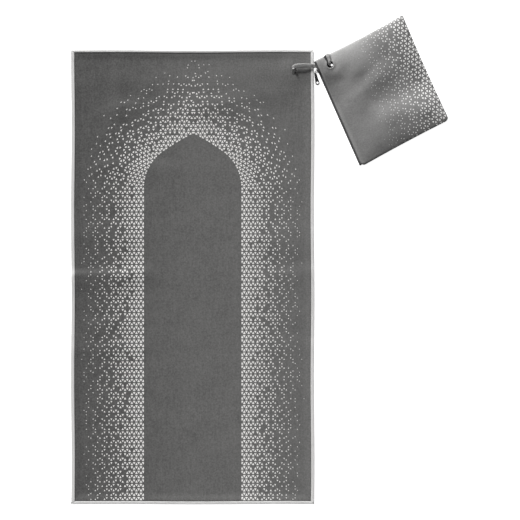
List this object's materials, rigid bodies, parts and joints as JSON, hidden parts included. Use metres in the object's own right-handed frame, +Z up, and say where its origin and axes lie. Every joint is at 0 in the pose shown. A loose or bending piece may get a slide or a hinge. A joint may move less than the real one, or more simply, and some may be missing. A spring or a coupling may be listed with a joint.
{
  "type": "portable prayer mat with a tied zip pouch",
  "caption": "Thin travel prayer mat lying open, edges bound in pale tape, arch left bare in a fading triangle print, with the zip pouch it packs into tied to one corner by a cloth band.",
  "frame": {"origin": "middle of the footprint of the mat and its pouch, on the floor", "axes": "+X to the right across the mat, +Y towards the head of the mat, +Z up from the floor"},
  "size_m": [0.93, 1.2056, 0.0141],
  "materials": {
    "mat_fabric": "dark grey matte cloth, finely grained, with a pale triangle print",
    "binding_tape": "pale grey woven tape, stitched",
    "pouch_fabric": "mid grey matte cloth with a pale triangle print along one side",
    "band_fabric": "grey woven band",
    "zip_coil": "dark coil and tape",
    "zip_metal": "dark nickel"
  },
  "bodies": {
    "root": {"mat_cloth": "mat_fabric", "binding_left": "binding_tape", "binding_right": "binding_tape", "binding_foot": "binding_tape", "binding_head": "binding_tape", "pouch_back": "pouch_fabric", "pouch_front": "pouch_fabric", "zip_chain": "zip_coil", "zip_slider": "zip_metal", "zip_link": "zip_metal", "zip_pull": "zip_metal", "tie_band": "band_fabric"}
  },
  "joints": []
}
